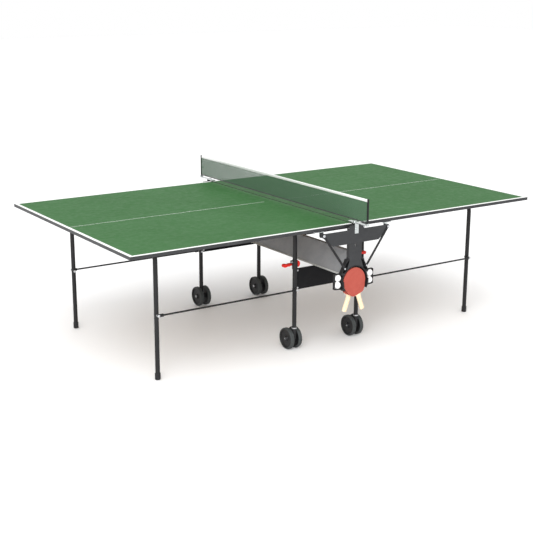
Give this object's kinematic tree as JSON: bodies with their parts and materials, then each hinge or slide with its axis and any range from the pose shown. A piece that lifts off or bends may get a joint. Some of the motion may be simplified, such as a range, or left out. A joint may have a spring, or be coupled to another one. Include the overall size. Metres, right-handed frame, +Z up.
{
  "type": "folding table tennis table",
  "caption": "Folding indoor table tennis table: two green boards on rolling tube frames with link rods, net and holders with bats and balls.",
  "frame": {"origin": "on the floor under the middle of the net", "axes": "+X along the table, +Y across it away from the side with the bats, +Z up; the playing surface is at z = 0.76"},
  "size_m": [2.74, 1.784, 0.917],
  "materials": {
    "black_steel": "black powder coat, satin",
    "sign_steel": "dark grey powder coat, matt",
    "panel_grey": "mid grey powder coat, satin",
    "rail_steel": "black powder coat, satin",
    "moulded_black": "fine grained moulding",
    "chrome": "polished",
    "zinc": "zinc plated",
    "green_board": "matt green lacquer with white lines on particle board",
    "net_weave": "open knotted mesh, dark",
    "net_band": "white woven tape",
    "net_edge": "dark woven cord band",
    "red_plastic": "moulded, semi gloss",
    "wheel_black": "soft tread on a moulded black wheel",
    "bat": "pale plywood with red pimple rubber sheets",
    "ball": "matt white celluloid"
  },
  "bodies": {
    "undercarriage": {"wheel_frame_left": "black_steel", "wheel_frame_right": "black_steel", "side_panel_near": "black_steel", "side_panel_far": "black_steel", "cross_panel": "panel_grey", "t_plates": "sign_steel", "columns": "black_steel", "braces": "black_steel", "holder_near": "moulded_black", "holder_far": "moulded_black", "hinge_pins": "zinc", "hinge_spacers": "moulded_black", "rod_pins": "zinc", "panel_bolts": "zinc", "net_arms": "chrome", "net_posts": "black_steel", "net_mesh": "net_weave", "net_tape": "net_band", "net_cord": "net_edge", "axle_plugs": "moulded_black", "fixed_axles": "zinc", "lever_brackets": "moulded_black"},
    "left_top": {"left_board": "green_board", "left_side_rails": "rail_steel", "left_end_rails": "rail_steel", "left_saddles": "moulded_black", "left_hinge_brackets": "chrome", "left_stiffener": "black_steel"},
    "left_legs": {"left_leg_frame": "black_steel", "left_feet": "moulded_black", "left_leg_pins": "zinc"},
    "left_link": {"left_rods": "black_steel"},
    "left_caster": {"caster_left": "moulded_black"},
    "left_lever": {"lever_left": "red_plastic"},
    "wheel_near_left_a_body": {"wheel_near_left_a": "wheel_black"},
    "wheel_near_left_b_body": {"wheel_near_left_b": "wheel_black"},
    "wheel_far_left_a_body": {"wheel_far_left_a": "wheel_black"},
    "wheel_far_left_b_body": {"wheel_far_left_b": "wheel_black"},
    "right_top": {"right_board": "green_board", "right_side_rails": "rail_steel", "right_end_rails": "rail_steel", "right_saddles": "moulded_black", "right_hinge_brackets": "chrome", "right_stiffener": "black_steel"},
    "right_legs": {"right_leg_frame": "black_steel", "right_feet": "moulded_black", "right_leg_pins": "zinc"},
    "right_link": {"right_rods": "black_steel"},
    "right_caster": {"caster_right": "moulded_black"},
    "right_lever": {"lever_right": "red_plastic"},
    "wheel_near_right_a_body": {"wheel_near_right_a": "wheel_black"},
    "wheel_near_right_b_body": {"wheel_near_right_b": "wheel_black"},
    "wheel_far_right_a_body": {"wheel_far_right_a": "wheel_black"},
    "wheel_far_right_b_body": {"wheel_far_right_b": "wheel_black"},
    "bat_front_body": {"bat_front": "bat"},
    "bat_back_body": {"bat_back": "bat"},
    "ball_left_upper_body": {"ball_left_upper": "ball"},
    "ball_left_lower_body": {"ball_left_lower": "ball"},
    "ball_right_upper_body": {"ball_right_upper": "ball"},
    "ball_right_lower_body": {"ball_right_lower": "ball"}
  },
  "joints": [
    {"name": "left_fold", "type": "hinge", "parent": "undercarriage", "child": "left_top", "pos_m": [-0.224, 0, 0.722], "axis": [0, 1, 0], "range_deg": [0, 86]},
    {"name": "left_legs_fold", "type": "hinge", "parent": "left_top", "child": "left_legs", "pos_m": [-1.11, 0, 0.722], "axis": [0, -1, 0], "range_deg": [0, 86]},
    {"name": "left_link_swing", "type": "hinge", "parent": "undercarriage", "child": "left_link", "pos_m": [-0.224, 0, 0.36], "axis": [0, 1, 0], "range_deg": [0, 86]},
    {"name": "left_caster_swivel", "type": "hinge", "parent": "undercarriage", "child": "left_caster", "pos_m": [-0.224, -0.525, 0.13], "axis": [0, 0, 1], "continuous": true},
    {"name": "left_lever_press", "type": "hinge", "parent": "undercarriage", "child": "left_lever", "pos_m": [-0.224, -0.5, 0.505], "axis": [0, 1, 0], "range_deg": [0, 12]},
    {"name": "near_left_a_roll", "type": "hinge", "parent": "left_caster", "child": "wheel_near_left_a_body", "pos_m": [-0.251, -0.492, 0.0625], "axis": [1, 0, 0], "continuous": true},
    {"name": "near_left_b_roll", "type": "hinge", "parent": "left_caster", "child": "wheel_near_left_b_body", "pos_m": [-0.197, -0.492, 0.0625], "axis": [1, 0, 0], "continuous": true},
    {"name": "far_left_a_roll", "type": "hinge", "parent": "undercarriage", "child": "wheel_far_left_a_body", "pos_m": [-0.251, 0.525, 0.0625], "axis": [1, 0, 0], "continuous": true},
    {"name": "far_left_b_roll", "type": "hinge", "parent": "undercarriage", "child": "wheel_far_left_b_body", "pos_m": [-0.197, 0.525, 0.0625], "axis": [1, 0, 0], "continuous": true},
    {"name": "right_fold", "type": "hinge", "parent": "undercarriage", "child": "right_top", "pos_m": [0.224, 0, 0.722], "axis": [0, -1, 0], "range_deg": [0, 86]},
    {"name": "right_legs_fold", "type": "hinge", "parent": "right_top", "child": "right_legs", "pos_m": [1.11, 0, 0.722], "axis": [0, 1, 0], "range_deg": [0, 86]},
    {"name": "right_link_swing", "type": "hinge", "parent": "undercarriage", "child": "right_link", "pos_m": [0.224, 0, 0.36], "axis": [0, -1, 0], "range_deg": [0, 86]},
    {"name": "right_caster_swivel", "type": "hinge", "parent": "undercarriage", "child": "right_caster", "pos_m": [0.224, -0.525, 0.13], "axis": [0, 0, 1], "continuous": true},
    {"name": "right_lever_press", "type": "hinge", "parent": "undercarriage", "child": "right_lever", "pos_m": [0.224, -0.5, 0.505], "axis": [0, -1, 0], "range_deg": [0, 12]},
    {"name": "near_right_a_roll", "type": "hinge", "parent": "right_caster", "child": "wheel_near_right_a_body", "pos_m": [0.197, -0.492, 0.0625], "axis": [1, 0, 0], "continuous": true},
    {"name": "near_right_b_roll", "type": "hinge", "parent": "right_caster", "child": "wheel_near_right_b_body", "pos_m": [0.251, -0.492, 0.0625], "axis": [1, 0, 0], "continuous": true},
    {"name": "far_right_a_roll", "type": "hinge", "parent": "undercarriage", "child": "wheel_far_right_a_body", "pos_m": [0.197, 0.525, 0.0625], "axis": [1, 0, 0], "continuous": true},
    {"name": "far_right_b_roll", "type": "hinge", "parent": "undercarriage", "child": "wheel_far_right_b_body", "pos_m": [0.251, 0.525, 0.0625], "axis": [1, 0, 0], "continuous": true},
    {"name": "bat_front_lift_out", "type": "slide", "parent": "bat_back_body", "child": "bat_front_body", "axis": [0, -1, 0], "range_m": [0, 0.1]},
    {"name": "bat_back_lift_out", "type": "slide", "parent": "undercarriage", "child": "bat_back_body", "axis": [0, -1, 0], "range_m": [0, 0.1]},
    {"name": "ball_left_upper_pull", "type": "slide", "parent": "undercarriage", "child": "ball_left_upper_body", "axis": [0, -1, 0], "range_m": [0, 0.06]},
    {"name": "ball_left_lower_pull", "type": "slide", "parent": "undercarriage", "child": "ball_left_lower_body", "axis": [0, -1, 0], "range_m": [0, 0.06]},
    {"name": "ball_right_upper_pull", "type": "slide", "parent": "undercarriage", "child": "ball_right_upper_body", "axis": [0, -1, 0], "range_m": [0, 0.06]},
    {"name": "ball_right_lower_pull", "type": "slide", "parent": "undercarriage", "child": "ball_right_lower_body", "axis": [0, -1, 0], "range_m": [0, 0.06]}
  ],
  "couplings": [
    {"joint": "left_legs_fold", "follows": "left_fold", "ratio": 1},
    {"joint": "left_link_swing", "follows": "left_fold", "ratio": 1},
    {"joint": "right_legs_fold", "follows": "right_fold", "ratio": 1},
    {"joint": "right_link_swing", "follows": "right_fold", "ratio": 1}
  ]
}
